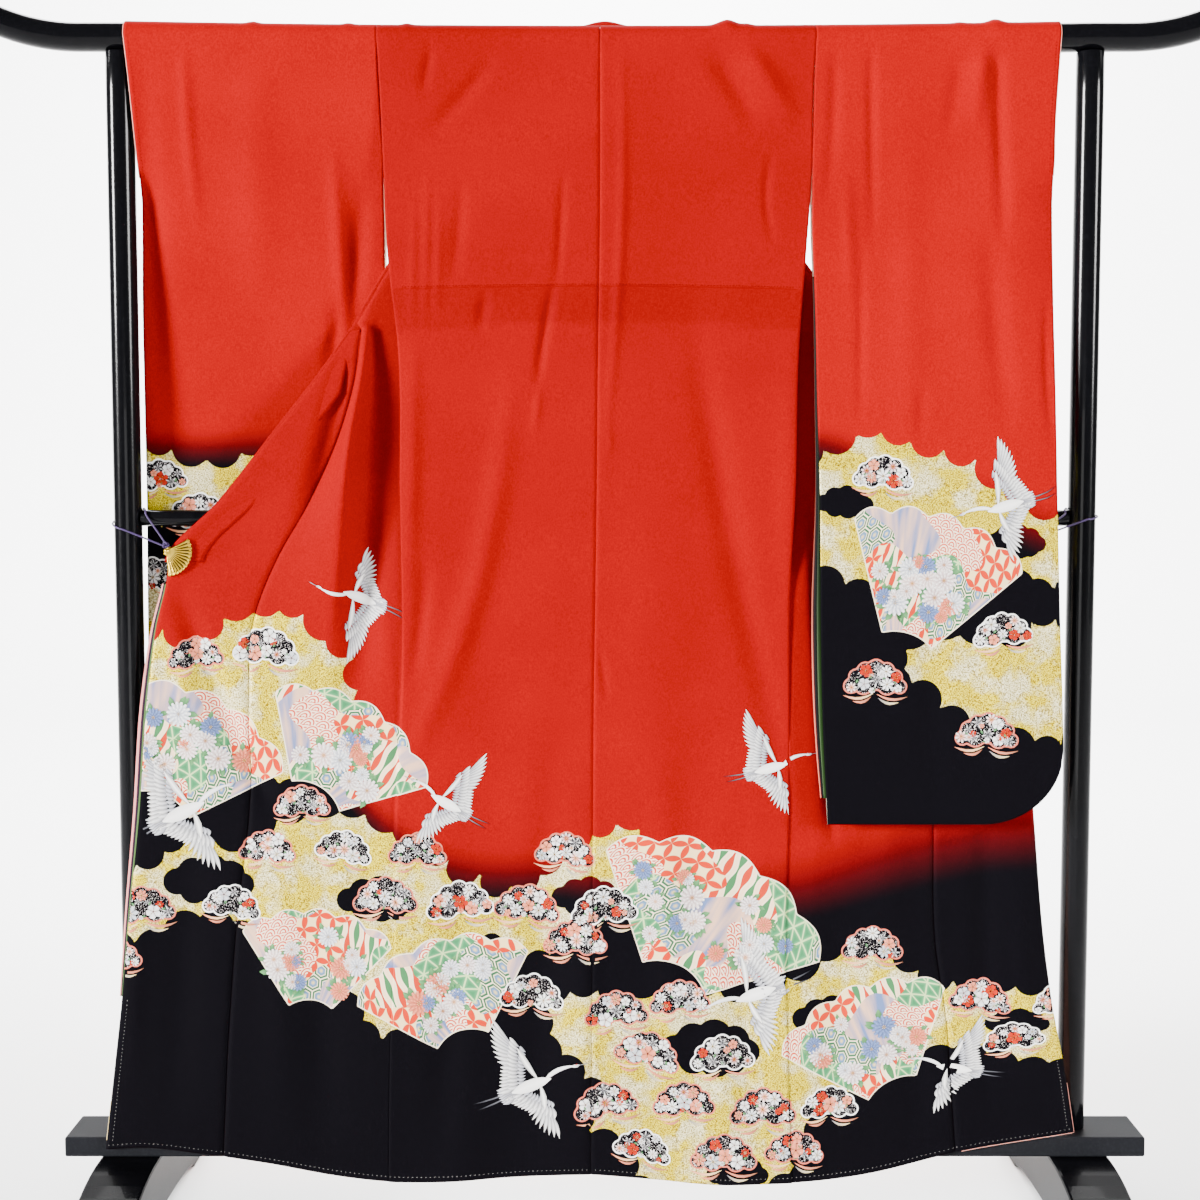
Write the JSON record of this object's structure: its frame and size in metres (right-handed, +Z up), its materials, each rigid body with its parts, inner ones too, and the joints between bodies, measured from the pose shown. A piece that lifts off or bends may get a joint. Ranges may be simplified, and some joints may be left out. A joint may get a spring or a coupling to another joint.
{
  "type": "furisode on a lacquered kimono rack",
  "caption": "Long-sleeved silk furisode, red shading to black, hung back to front over a black lacquered kimono rack, its fronts opened out and held by fan clips.",
  "frame": {"origin": "on the floor, midway along the rack and between its feet, at the centre of the base of the object's box", "axes": "+Z up, +X along the bar towards the garment's right sleeve, -Y out of the garment's back"},
  "size_m": [1.8436, 0.53, 1.7643],
  "materials": {
    "red_silk": "soft crepe silk with a faint sheen",
    "layer_silk": "plain coloured silk edges",
    "gilt_metal": "polished gilt with ribs",
    "purple_cord": "braided cord",
    "black_lacquer": "gloss black lacquer on wood",
    "grey_lacquer": "satin dark grey paint on wood"
  },
  "bodies": {
    "root": {"back_left": "red_silk", "back_right": "red_silk", "front_left": "red_silk", "front_right": "red_silk", "okumi_left": "red_silk", "okumi_right": "red_silk", "collar_left": "red_silk", "collar_right": "red_silk", "collar_neck": "red_silk", "sleeve_left": "red_silk", "sleeve_right": "red_silk", "sleeve_layers_right": "layer_silk", "front_layers_left": "layer_silk", "clip_left": "gilt_metal", "clip_right": "gilt_metal", "tie_left": "purple_cord", "tie_right": "purple_cord", "top_bar": "black_lacquer", "post_left": "black_lacquer", "post_right": "black_lacquer", "mid_rail": "black_lacquer", "base_board": "grey_lacquer", "foot_left": "black_lacquer", "foot_right": "black_lacquer"}
  },
  "joints": []
}
